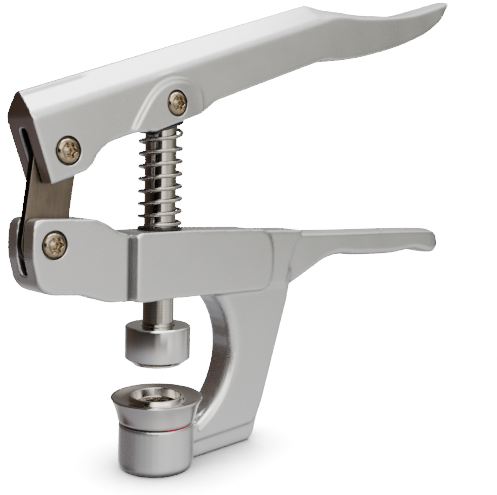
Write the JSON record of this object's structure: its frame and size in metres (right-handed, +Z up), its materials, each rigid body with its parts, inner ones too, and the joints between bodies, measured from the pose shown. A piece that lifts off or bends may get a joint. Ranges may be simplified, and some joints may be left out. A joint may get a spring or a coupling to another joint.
{
  "type": "grommet setter",
  "caption": "Hand grommet press: C-frame with a grip, long upper lever on a rear link, sprung plunger with a punch above a grommet seat.",
  "frame": {"origin": "on the ground, on the axis shared by the plunger and both dies, at the bottom of the post", "axes": "+X towards the grips, +Y across the press, +Z up along the plunger"},
  "size_m": [0.2628, 0.0358, 0.2097],
  "materials": {
    "cast_silver": "satin silver coat on a die casting",
    "turned_steel": "lathe-turned, satin",
    "polished_steel": "polished",
    "link_steel": "brushed plate",
    "plated_screw": "yellow-plated steel",
    "bronze": "sintered bronze",
    "dark_steel": "blackened",
    "red_rubber": "smooth red ring"
  },
  "bodies": {
    "frame": {"lower_frame": "cast_silver", "plunger_guide_bush": "bronze", "lower_die": "turned_steel", "lower_die_ring": "red_rubber", "spring_seat_washer": "dark_steel", "clevis_pin_sleeve": "plated_screw", "clevis_pin_washer": "dark_steel", "clevis_pin_screw": "plated_screw"},
    "link": {"link_plate": "link_steel", "link_lower_bush": "bronze", "link_upper_bush": "bronze"},
    "handle": {"upper_handle": "cast_silver", "link_pin_sleeve": "plated_screw", "link_pin_washer": "dark_steel", "link_pin_screw": "plated_screw", "plunger_pin_sleeve": "plated_screw", "plunger_pin_washer": "dark_steel", "plunger_pin_screw": "plated_screw"},
    "plunger": {"plunger_shaft": "polished_steel", "plunger_pin_bush": "bronze", "upper_die": "turned_steel", "upper_die_set_screw": "dark_steel", "return_spring": "polished_steel"},
    "spring_cap": {"spring_cap_washer": "dark_steel"}
  },
  "joints": [
    {"name": "lever_pivot", "type": "hinge", "parent": "link", "child": "handle", "pos_m": [-0.04639, 0, 0.12225], "axis": [0, 1, 0], "range_deg": [0, 21.3]},
    {"name": "link_pivot", "type": "hinge", "parent": "frame", "child": "link", "pos_m": [-0.0514, 0, 0.091], "axis": [0, 1, 0], "range_deg": [-6.8, 0]},
    {"name": "plunger_slide", "type": "slide", "parent": "frame", "child": "plunger", "axis": [0, 0, 1], "range_m": [-0.0122, 0], "stiffness_N_per_m": 800, "springref_m": 0.008, "deforming": ["return_spring"]},
    {"name": "spring_cap_tilt", "type": "hinge", "parent": "plunger", "child": "spring_cap", "pos_m": [0, 0, 0.13271], "axis": [0, 1, 0], "range_deg": [0, 15.2]}
  ],
  "couplings": [
    {"joint": "link_pivot", "follows": "lever_pivot", "ratio": -0.306},
    {"joint": "plunger_slide", "follows": "lever_pivot", "m_per_rad": -0.0323},
    {"joint": "spring_cap_tilt", "follows": "lever_pivot", "ratio": 0.694}
  ]
}
